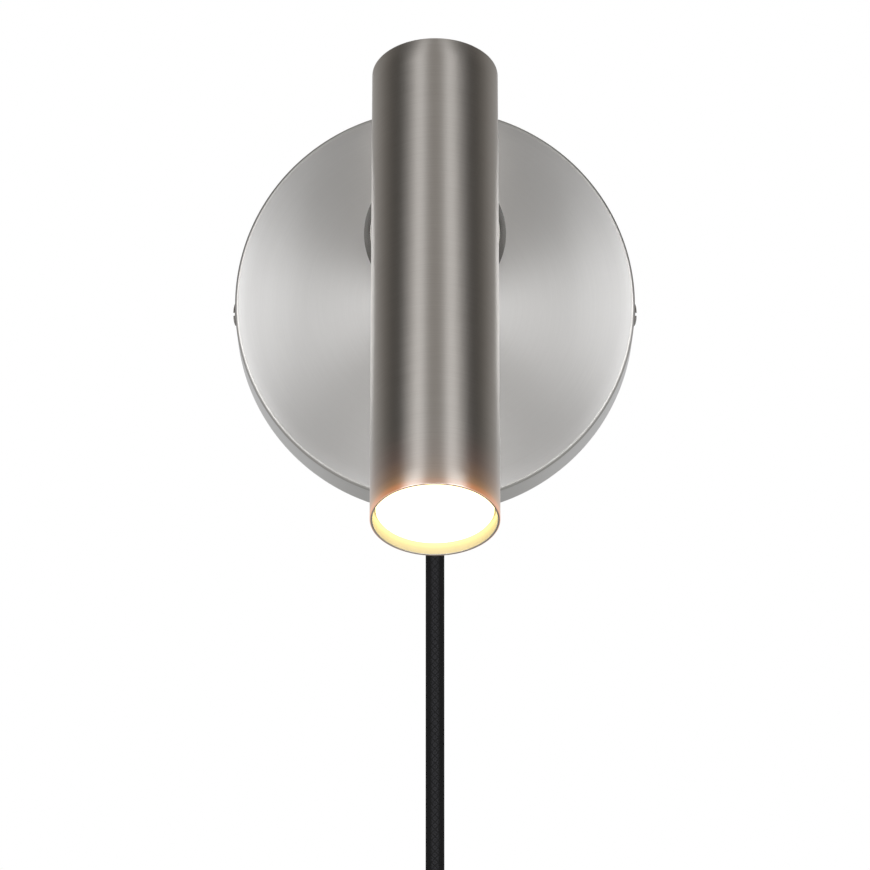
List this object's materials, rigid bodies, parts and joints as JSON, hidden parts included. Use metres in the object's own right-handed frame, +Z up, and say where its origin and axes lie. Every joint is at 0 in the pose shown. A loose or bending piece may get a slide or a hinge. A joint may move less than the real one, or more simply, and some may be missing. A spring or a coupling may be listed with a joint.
{
  "type": "tube wall light",
  "caption": "Brushed metal tube spotlight on a round wall canopy, with a swivel, a tilting hinge and a black textile plug-in lead.",
  "frame": {"origin": "middle of the wall bracket's two-slot screw pattern, in the plane of the wall", "axes": "-Y points out of the wall towards the viewer, +Z up, +X to the viewer's right"},
  "size_m": [0.2111, 0.2028, 0.6264],
  "materials": {
    "brushed_plate": "spun and brushed nickel-plated steel, satin",
    "brushed_tube": "nickel-plated steel tube brushed round its girth, satin",
    "turned_nickel": "turned and nickel-plated, satin",
    "screw_steel": "nickel-plated screw",
    "zinc_steel": "zinc-plated steel",
    "brass": "plain brass",
    "nickel_pins": "nickel-plated brass pins",
    "terminal_plastic": "natural white moulded plastic",
    "black_plastic": "black moulded plastic, fine satin grain",
    "washer_plastic": "natural nylon",
    "lead_insulation": "silicone lead insulation",
    "grommet_rubber": "black rubber",
    "textile_cord": "black braided textile over a round lead",
    "tie_strap": "black hook-and-loop strap",
    "ceramic_white": "unglazed steatite",
    "lamp_housing": "white moulded lamp housing",
    "lamp_glass": "frosted lens, lit"
  },
  "bodies": {
    "root": {"wall_bracket": "zinc_steel", "canopy": "brushed_plate", "canopy_screws": "screw_steel", "earth_screw": "brass", "earth_washer": "brass", "terminal_block": "terminal_plastic", "terminal_inserts": "brass", "terminal_screws": "zinc_steel", "terminal_fixing_screws": "zinc_steel", "stop_stud": "zinc_steel", "cord_gland": "black_plastic", "gland_nut": "black_plastic", "gland_grub_screw": "black_plastic", "supply_leads": "lead_insulation", "cord_run": "textile_cord", "cord_coil": "textile_cord", "coil_tie": "tie_strap", "switch_front": "black_plastic", "switch_back": "black_plastic", "switch_screws": "screw_steel", "switch_contacts": "brass", "plug_body": "black_plastic", "plug_relief": "black_plastic", "plug_pins": "nickel_pins"},
    "arm": {"rosette": "brushed_plate", "swivel_stem": "zinc_steel", "friction_washer": "washer_plastic", "stop_washer": "zinc_steel", "swivel_nut": "zinc_steel", "arm_post": "turned_nickel"},
    "head": {"lamp_tube": "brushed_tube", "top_cap": "brushed_tube", "hinge_clevis": "turned_nickel", "clevis_screws": "screw_steel", "hinge_screw": "screw_steel", "hinge_washer": "screw_steel", "hinge_nut": "screw_steel", "lampholder_bracket": "zinc_steel", "lampholder": "ceramic_white", "holder_screws": "zinc_steel", "lamp_body": "lamp_housing", "lamp_lens": "lamp_glass", "lamp_pins": "nickel_pins", "lamp_leads": "lead_insulation", "lead_grommet": "grommet_rubber"},
    "rocker": {"switch_rocker": "black_plastic"}
  },
  "joints": [
    {"name": "arm_swivel", "type": "hinge", "parent": "root", "child": "arm", "pos_m": [0, -0.033, 0.032], "axis": [0, -1, 0], "range_deg": [-165, 165]},
    {"name": "head_tilt", "type": "hinge", "parent": "arm", "child": "head", "pos_m": [0, -0.0665, 0.032], "axis": [-1, 0, 0], "range_deg": [-24, 21]},
    {"name": "switch_rock", "type": "hinge", "parent": "root", "child": "rocker", "pos_m": [0, -0.0228, -0.293], "axis": [-1, 0, 0], "range_deg": [0, 16]}
  ]
}
